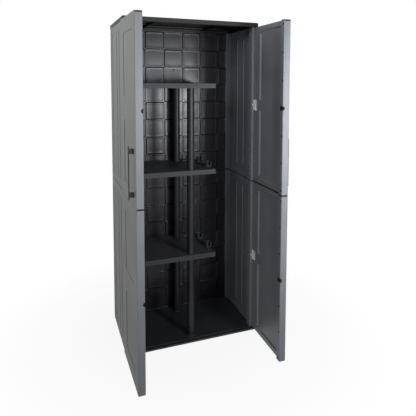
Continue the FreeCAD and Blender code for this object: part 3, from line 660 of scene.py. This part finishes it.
@dataclass
class TileWall:
    """One half of the back wall: a checker of proud and sunken tiles, each with a rim and a crowned field.

    Attributes:
        level: which half it is.
        hole: the wall screw's hole, if this half has it.
        rules: the wall's sizes.
        steps: distances of the grid lines on both sides of a tile's edge, in millimetres.
        least_gap: grid lines closer than this become one.
        most_gap: wider gaps than this get further lines.
        open_gap: how far apart those are at most.
    """

    level: str
    hole: ScrewHole | None = None
    rules: TileRules = field(default_factory=TileRules)
    steps: tuple[float, ...] = (0.5, 1.8, 3.1, 4.4, 5.6, 8.0, 10.6, 12.4, 14.2, 18.0)
    least_gap: float = 0.35
    most_gap: float = 17.0
    open_gap: float = 15.0

    def _lines(self, low: float, high: float, edges: Sequence[float], extra: Sequence[float]) -> np.ndarray:
        """Works out grid lines that crowd round the tile edges.

        Args:
            low: first line.
            high: last line.
            edges: where tiles meet.
            extra: further lines that have to be there.

        Returns:
            The lines' places in rising order.
        """
        found = [low, high, *extra]
        for edge in edges:
            found.extend(edge + sign * step for step in self.steps for sign in (-1.0, 1.0))
        ordered = sorted(v for v in found if low <= v <= high)
        kept = [ordered[0]]
        for value in ordered[1:]:
            last = kept[-1]
            gap = value - last
            if gap < self.least_gap:
                continue
            if gap > self.most_gap:
                count = int(math.ceil(gap / self.open_gap))
                kept.extend([last + gap * n / count for n in range(1, count)])
            kept.append(value)
        kept[-1] = ordered[-1]
        return np.array(kept)

    def _front(self, x: np.ndarray, z: np.ndarray, foot: float, head: float) -> np.ndarray:
        """Works out the inner face.

        Args:
            x: positions across.
            z: heights.
            foot: lowest tile edge.
            head: highest tile edge.

        Returns:
            The depth at each grid point.
        """
        r = self.rules
        col = np.round(x / r.pitch_x)
        row = np.floor((r.top - z) / r.pitch_z)
        top = np.minimum(r.top - row * r.pitch_z, head)
        bottom = np.maximum(r.top - (row + 1) * r.pitch_z, foot)
        u = np.minimum(r.pitch_x / 2 - np.abs(x - col * r.pitch_x), r.half_field - np.abs(x))
        v = np.minimum(top - z, z - bottom)
        d = np.minimum(u, v)
        corner = np.hypot(np.clip(r.round - u, 0, None), np.clip(r.round - v, 0, None))
        near = np.clip(1.0 - corner / r.round, 0, 1) * r.round
        d = np.where(d < r.round, np.minimum(d, near), d)
        proud = ((row + col) % 2 != 0) & (top - bottom > r.least_height)
        climb = np.clip((d - r.edge) / r.draft, 0.0, 1.0)
        climb = ease(climb) * r.ease_share + climb * (1.0 - r.ease_share)
        start = np.where(proud, r.draft + r.proud_gap, r.sunk_gap) + r.rim
        inner = np.minimum(np.minimum(u, v), (u + v - r.corner_cut) * r.diagonal + start * 0.5)
        sink = ease(np.clip((inner - start) / r.rim_run, 0.0, 1.0))
        across = np.clip(u / (r.pitch_x / 2), 0.0, 1.0)
        along = np.clip(v / (np.maximum(top - bottom, 1.0) / 2), 0.0, 1.0)
        crown = (1.0 - (1.0 - across) ** 2) * (1.0 - (1.0 - along) ** 2)
        depth = np.where(proud, r.sunk + (r.proud - r.sunk) * climb, r.sunk) + r.rim_step * sink
        depth = depth - r.bulge * crown * sink
        outside = (np.abs(x) > r.half_field) | (z < foot) | (z > head)
        return np.where(outside, r.frame, depth)

    def _rear(self, x: np.ndarray, z: np.ndarray, low: float, high: float) -> np.ndarray:
        """Works out the outer face, with a shallow sunken field and the tile lines showing faintly.

        Args:
            x: positions across.
            z: heights.
            low: lowest height of the panel.
            high: highest height of the panel.

        Returns:
            The depth at each grid point.
        """
        r = self.rules
        margin = np.minimum(r.half_panel - np.abs(x), np.minimum(z - low, high - z))
        sunk = ease(np.clip((margin - r.rear_margin) / r.rear_ramp, 0.0, 1.0))
        u = r.pitch_x / 2 - np.abs(x - np.round(x / r.pitch_x) * r.pitch_x)
        v = np.abs((r.top - z) / r.pitch_z - np.round((r.top - z) / r.pitch_z)) * r.pitch_z
        line = ease(np.clip(1.0 - np.minimum(u, v) / r.line_width, 0.0, 1.0))
        return r.rear - r.rear_sink * sunk - r.line_depth * line * sunk

    def _grid(self, low: float, high: float) -> tuple[np.ndarray, int, int]:
        """Works out the points of both faces.

        Args:
            low: lowest height of the panel in millimetres.
            high: highest height of the panel in millimetres.

        Returns:
            The points in metres, those of the inner face first, and how many there are across and along.
        """
        r = self.rules
        foot, head = low + r.foot, high - r.head
        rows = range(int(r.top // r.pitch_z) + 1)
        cuts_x = [(n + 0.5) * r.pitch_x for n in range(-r.half_columns, r.half_columns)]
        cuts_z = [r.top - n * r.pitch_z for n in rows]
        around = (-self.hole.patch, self.hole.patch) if self.hole else ()
        xs = self._lines(-r.half_panel, r.half_panel, [*cuts_x, -r.half_field, r.half_field], around)
        zs = self._lines(low, high, [*cuts_z, foot, head], [self.hole.height + a for a in around])
        x, z = np.meshgrid(xs, zs)
        depths = (self._front(x, z, foot, head), self._rear(x, z, low, high))
        sides = [np.stack([x, y - DEPTH_MM / 2, z], axis=-1).reshape(-1, 3) for y in depths]
        return np.concatenate(sides) * MM, len(xs), len(zs)

    def _faces(self, points: np.ndarray, across: int, along: int) -> np.ndarray:
        """Lists the faces of both sides and of the narrow sides between them.

        Args:
            points: the points of both faces.
            across: how many points there are across.
            along: how many points there are along.

        Returns:
            Four points' places for each face, without those in the hole's way.
        """
        first = (np.arange(along - 1)[:, None] * across + np.arange(across - 1)[None, :]).ravel()
        quads = np.stack([first, first + 1, first + across + 1, first + across], axis=-1)
        if self.hole:
            middle_x = (points[quads, 0].mean(axis=1)) / MM
            middle_z = (points[quads, 2].mean(axis=1)) / MM
            quads = quads[(np.abs(middle_x) > self.hole.patch)
                          | (np.abs(middle_z - self.hole.height) > self.hole.patch)]
        count = across * along
        ring = np.concatenate([np.arange(across), np.arange(1, along) * across + across - 1,
                               (along - 1) * across + np.arange(across - 2, -1, -1),
                               np.arange(along - 2, 0, -1) * across])
        after = np.roll(ring, -1)
        walls = np.stack([ring, ring + count, after + count, after], axis=-1)
        return np.concatenate([quads, quads[:, ::-1] + count, walls])

    def build(self, kit: ShaderKit) -> bpy.types.Object:
        """Makes the wall half in place of its solid.

        Args:
            kit: where materials come from.

        Returns:
            The piece.
        """
        node = "back_panel_" + self.level
        low, high = (corner[2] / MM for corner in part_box(node))
        points, across, along = self._grid(low, high)
        data = bpy.data.meshes.new(node + "_form")
        data.from_pydata(points.tolist(), [], self._faces(points, across, along).tolist())
        form = bmesh.new()
        form.from_mesh(data)
        if self.hole:
            self._bore(form, self.hole)
        bmesh.ops.delete(form, geom=[v for v in form.verts if not v.link_faces], context="VERTS")
        bmesh.ops.recalc_face_normals(form, faces=form.faces)
        for face in form.faces:
            face.smooth = True
        form.to_mesh(data)
        form.free()
        data.set_sharp_from_angle(angle=math.radians(WALL_SHARP_DEG))
        data.materials.append(kit.material(Skin.INNER))
        # painted shade for the walls of the screw hole
        data.materials.append(kit.material(Skin.PAINTED_HOLE_SHADE))
        piece = add_object(node + "_form", data)
        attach(piece, "cabinet")
        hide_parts(node)
        LOG.info("%s: %d by %d grid lines", node, across, along)
        return piece

    @staticmethod
    def _bore(form: bmesh.types.BMesh, hole: ScrewHole) -> None:
        """Joins the square openings in both faces through a round hole with a seat for the screw's head, and
        gives the hole's walls painted shade.

        Args:
            form: the wall, with a square patch missing in front and behind.
            hole: the hole's sizes.
        """
        open_edges = [e for e in form.edges if len(e.link_faces) == 1]
        middle = sum(v.co.y for e in open_edges for v in e.verts) / (2 * len(open_edges))
        squares = [[e for e in open_edges if (e.verts[0].co.y - middle) * side > 0] for side in (-1, 1)]
        levels = [sum(e.verts[0].co.y for e in square) / len(square) for square in squares]
        seat = levels[0] + (levels[1] - levels[0]) * hole.seat
        count = hole.corners
        turns = [2 * math.pi * n / count for n in range(count)]
        steps = ((hole.mouth, levels[0]), (1.0, seat), (hole.shank, seat), (hole.shank, levels[1]))
        rings = []
        for share, level in steps:
            size = hole.radius * share
            places = [(math.cos(t) * size, hole.height + math.sin(t) * size) for t in turns]
            rings.append([form.verts.new((x * MM, level, z * MM)) for x, z in places])
        for one, two in zip(rings, rings[1:]):
            for n in range(count):
                wall = form.faces.new((one[n], one[(n + 1) % count], two[(n + 1) % count], two[n]))
                # painted shade on the hole's walls
                wall.material_index = 1
        for square, ring in zip(squares, (rings[0], rings[-1])):
            loop = [form.edges.get((ring[n], ring[(n + 1) % count])) for n in range(count)]
            bmesh.ops.triangle_fill(form, edges=square + loop, use_beauty=True)


@dataclass
class DoorLeaf:
    """One door: two moulded halves, the strip between them, its cap, handle, buffers and hinge leaves.

    Attributes:
        side: which door it is.
    """

    side: str

    def forms(self) -> list[SoftForm]:
        """Lists the door's pieces.

        Returns:
            The pieces, not yet built.
        """
        body = self.side + "_door"
        made = [
            SoftForm("door_joint_" + self.side, body, Skin.PROFILE, radius_mm=0.6),
            SoftForm("door_cap_" + self.side, body, Skin.PROFILE, radius_mm=0.8, end_mm=END_MM),
            SoftForm("handle_" + self.side, body, Skin.HANDLE, radius_mm=1.0),
        ]
        for level in LEVELS:
            tail = "_%s_%s" % (self.side, level)
            end_mm = -END_MM if level == "lower" else 0.0
            made.append(SoftForm("door" + tail, body, Skin.DOOR, radius_mm=1.5, end_mm=end_mm))
            made.append(SoftForm("door_buffer" + tail, body, Skin.RUBBER, radius_mm=0.8, least_mm=0.5))
            made.append(SoftForm("hinge_leaf" + tail, body, Skin.HINGE, radius_mm=0.9, least_mm=0.5))
        return made


@dataclass
class Shell:
    """The fixed walls, lid and base, with the hinges' fixed parts.

    Attributes:
        body: the body that all of it belongs to.
    """

    body: str = "cabinet"

    def forms(self) -> list[SoftForm | TileWall]:
        """Lists the shell's pieces.

        Returns:
            The pieces, not yet built.
        """
        made: list[SoftForm | TileWall] = [
            TileWall("lower"),
            TileWall("upper", ScrewHole()),
            SoftForm("roof_lid", self.body, Skin.LID, radius_mm=1.5),
            SoftForm("base_tray", self.body, Skin.BASE),
            SoftForm("back_seam", self.body, Skin.PROFILE, radius_mm=0.6),
        ]
        for side in SIDES:
            made.append(SoftForm("side_seam_" + side, self.body, Skin.PROFILE, radius_mm=0.6))
            for level in LEVELS:
                tail = "_%s_%s" % (side, level)
                made.append(SoftForm("side_panel" + tail, self.body, Skin.SIDE, radius_mm=1.5))
                made.append(SoftForm("hinge_bracket" + tail, self.body, Skin.HINGE, radius_mm=0.9,
                                     least_mm=0.5))
        made.append(SoftForm("hinge_pins", self.body, Skin.PIN, radius_mm=0.3, least_mm=0.2))
        made.append(SoftForm("hinge_studs", self.body, Skin.HINGE, radius_mm=0.3, least_mm=0.5))
        return made


@dataclass
class Shelving:
    """The shelves, their tube posts, the pegs under them and the tool clips on all but the last.

    Attributes:
        body: the body that all of it belongs to.
        count: how many shelves there are.
    """

    body: str = "cabinet"
    count: int = 3

    def forms(self) -> list[SoftForm]:
        """Lists the shelving's pieces.

        Returns:
            The pieces, not yet built.
        """
        made = [SoftForm("shelf_pegs", self.body, Skin.PROFILE, radius_mm=0.5, least_mm=0.4)]
        for number in range(1, self.count + 1):
            made.append(SoftForm("shelf_%d" % number, self.body, Skin.SHELF, radius_mm=1.3))
            for place in ("front", "rear"):
                made.append(SoftForm("%s_post_%d" % (place, number), self.body, Skin.POST, radius_mm=0.6,
                                     least_mm=1.0))
        for number in range(1, self.count):
            made.append(SoftForm("broom_clips_%d" % number, self.body, Skin.CLIP, radius_mm=0.7,
                                 least_mm=0.8))
        return made


@dataclass(frozen=True)
class ViewPoint:
    """The photograph's camera: where it stands, how it is turned and how it frames.

    Attributes:
        place: its position in metres.
        yaw: degrees that it is turned to the right of the depth's direction.
        pitch: degrees that it looks up.
        roll: degrees that it leans.
        lens: focal length in millimetres.
        sensor: width of the picture behind the lens in millimetres.
        shift: how far the picture is moved, as a share of its width.
        clip: nearest and farthest distance that it sees, in metres.
    """

    place: tuple[float, float, float] = (-0.67517, -2.3212, 1.33284)
    yaw: float = 21.399
    pitch: float = -4.7196
    roll: float = 0.291
    lens: float = 39.05
    sensor: float = 36.0
    shift: tuple[float, float] = (-0.0370, -0.2134)
    clip: tuple[float, float] = (0.05, 60.0)

    def make(self) -> bpy.types.Object:
        """Adds the camera and makes it the scene's own.

        Returns:
            The camera.
        """
        yaw, pitch, roll = (math.radians(a) for a in (self.yaw, self.pitch, self.roll))
        ahead = Vector((math.sin(yaw) * math.cos(pitch), math.cos(yaw) * math.cos(pitch), math.sin(pitch)))
        right = Vector((math.cos(yaw), -math.sin(yaw), 0.0))
        up = right.cross(ahead)
        level_right = right * math.cos(roll) + up * math.sin(roll)
        level_up = up * math.cos(roll) - right * math.sin(roll)
        turn = Matrix((level_right, level_up, -ahead)).transposed().to_4x4()
        data = bpy.data.cameras.new("view")
        data.sensor_width = self.sensor
        data.lens = self.lens
        data.shift_x, data.shift_y = self.shift
        data.clip_start, data.clip_end = self.clip
        camera = add_object("view", data)
        camera.matrix_world = Matrix.Translation(self.place) @ turn
        bpy.context.scene.camera = camera
        return camera


@dataclass(frozen=True)
class Softbox:
    """A rectangular studio lamp aimed at a point.

    Attributes:
        name: the lamp's name.
        place: where it stands, in metres.
        aim: the point that it faces, in metres.
        size: its width and height in metres.
        watts: its power.
        colour: its linear colour.
        spread: the angle in degrees that its light keeps within.
    """

    name: str
    place: tuple[float, float, float]
    aim: tuple[float, float, float]
    size: tuple[float, float]
    watts: float
    colour: tuple[float, float, float]
    spread: float = 180.0

    def make(self) -> None:
        """Adds the lamp to the scene."""
        data = bpy.data.lights.new(self.name, "AREA")
        data.shape = "RECTANGLE"
        data.size, data.size_y = self.size
        data.energy = self.watts
        data.color = self.colour
        data.spread = math.radians(self.spread)
        lamp = add_object(self.name, data)
        lamp.location = self.place
        lamp.rotation_mode = "QUATERNION"
        lamp.rotation_quaternion = (Vector(self.aim) - Vector(self.place)).to_track_quat("-Z", "Y")


SOFTBOXES = (
    Softbox("front_right_lamp", (0.66, -2.0, 1.08), (0.3, 0.0, 1.3), (0.2, 0.28),
            9.6, (0.955, 0.965, 0.975), 110.0),
    Softbox("front_lamp", (0.04, -2.005, 1.275), (0.0, 0.0, 1.5), (0.1, 0.14),
            4.3, (0.9, 0.92, 1.0), 130.0),
    Softbox("left_front_lamp", (-2.2, -1.9, 2.4), (-0.2, -0.2, 1.3), (1.2, 1.2),
            19.0, (0.93, 0.95, 1.0)),
    Softbox("left_lamp", (-1.45, -0.1, 1.74), (0.0, -0.1, 1.5), (0.5, 0.5),
            6.4, (0.985, 0.975, 0.995)),
)


@dataclass(frozen=True)
class Studio:
    """The pale floor, the surround and the lamps.

    Attributes:
        surround: how bright the surround is for all light but what the camera sees.
        floor_half: half the floor's width in metres.
        floor_grey: how much light the floor sends back.
        floor_roughness, floor_specular: the rest of its finish.
        glow_reach: distances in metres between which the floor turns from nearly to fully white.
        glow_share: how white it is at those distances.
    """

    surround: float = 0.03
    floor_half: float = 12.0
    floor_grey: float = 0.5
    floor_roughness: float = 0.9
    floor_specular: float = 0.1
    glow_reach: tuple[float, float] = (0.3, 1.2)
    glow_share: tuple[float, float] = (0.92, 1.0)

    def make(self) -> None:
        """Adds everything round the cabinet."""
        bpy.context.scene.view_settings.view_transform = "Standard"
        self._world()
        self._floor()
        for box in SOFTBOXES:
            box.make()

    @staticmethod
    def _seen(tree: bpy.types.NodeTree) -> bpy.types.NodeSocket:
        """Tells the rays apart that show a surface from those that only light others.

        Args:
            tree: the tree that gets the nodes.

        Returns:
            A socket that is 1 for camera, glossy and transmission rays.
        """
        path = tree.nodes.new("ShaderNodeLightPath").outputs
        value = path["Is Camera Ray"]
        for name in ("Is Glossy Ray", "Is Transmission Ray"):
            value = math_node(tree, "MAXIMUM", value, path[name])
        return value

    def _world(self) -> None:
        """Makes the surround, which looks white and lights only faintly."""
        world = bpy.data.worlds.new("surround")
        bpy.context.scene.world = world
        world.use_nodes = True
        tree = world.node_tree
        mix = tree.nodes.new("ShaderNodeMix")
        mix.data_type = "RGBA"
        mix.inputs["A"].default_value = (self.surround, self.surround, self.surround, 1.0)
        mix.inputs["B"].default_value = (1.0, 1.0, 1.0, 1.0)
        tree.links.new(self._seen(tree), mix.inputs["Factor"])
        tree.links.new(mix.outputs["Result"], tree.nodes["Background"].inputs["Color"])

    def _floor(self) -> None:
        """Makes the floor, which keeps the cabinet's shadow nearby and looks white far out."""
        half = self.floor_half
        data = bpy.data.meshes.new("floor")
        data.from_pydata([(-half, -half, 0), (half, -half, 0), (half, half, 0), (-half, half, 0)], [],
                         [(0, 1, 2, 3)])
        floor = add_object("floor", data)
        pale = bpy.data.materials.new("pale_floor")
        pale.use_nodes = True
        tree = pale.node_tree
        nodes, links = tree.nodes, tree.links
        matt = nodes["Principled BSDF"]
        matt.inputs["Base Color"].default_value = (self.floor_grey, self.floor_grey, self.floor_grey, 1.0)
        matt.inputs["Roughness"].default_value = self.floor_roughness
        matt.inputs["Specular IOR Level"].default_value = self.floor_specular
        reach = nodes.new("ShaderNodeVectorMath")
        reach.operation = "LENGTH"
        links.new(nodes.new("ShaderNodeTexCoord").outputs["Object"], reach.inputs[0])
        fade = nodes.new("ShaderNodeMapRange")
        fade.interpolation_type = "SMOOTHSTEP"
        fade.inputs["From Min"].default_value, fade.inputs["From Max"].default_value = self.glow_reach
        fade.inputs["To Min"].default_value, fade.inputs["To Max"].default_value = self.glow_share
        links.new(reach.outputs["Value"], fade.inputs["Value"])
        mix = nodes.new("ShaderNodeMixShader")
        links.new(math_node(tree, "MULTIPLY", self._seen(tree), fade.outputs["Result"]), mix.inputs["Fac"])
        links.new(matt.outputs["BSDF"], mix.inputs[1])
        links.new(nodes.new("ShaderNodeEmission").outputs["Emission"], mix.inputs[2])
        links.new(mix.outputs["Shader"], nodes["Material Output"].inputs["Surface"])
        data.materials.append(pale)


def corners(box: Sequence[Iterable[float]]) -> list[list[float]]:
    """Turns a box's two corners into plain lists.

    Args:
        box: lowest and highest corner.

    Returns:
        The corners.
    """
    return [[float(v) for v in corner] for corner in box]


def main() -> None:
    """Dresses the cabinet, lights it and sets the camera."""
    logging.basicConfig(level=logging.INFO, format="%(name)s: %(message)s", stream=sys.stdout)
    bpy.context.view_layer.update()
    ViewPoint().make()
    Studio().make()
    kit = ShaderKit()
    forms: list[SoftForm | TileWall] = []
    for side in SIDES:
        forms.extend(DoorLeaf(side).forms())
    forms.extend(Shell().forms())
    forms.extend(Shelving().forms())
    for form in forms:
        form.build(kit)


if __name__ == "__main__":
    main()
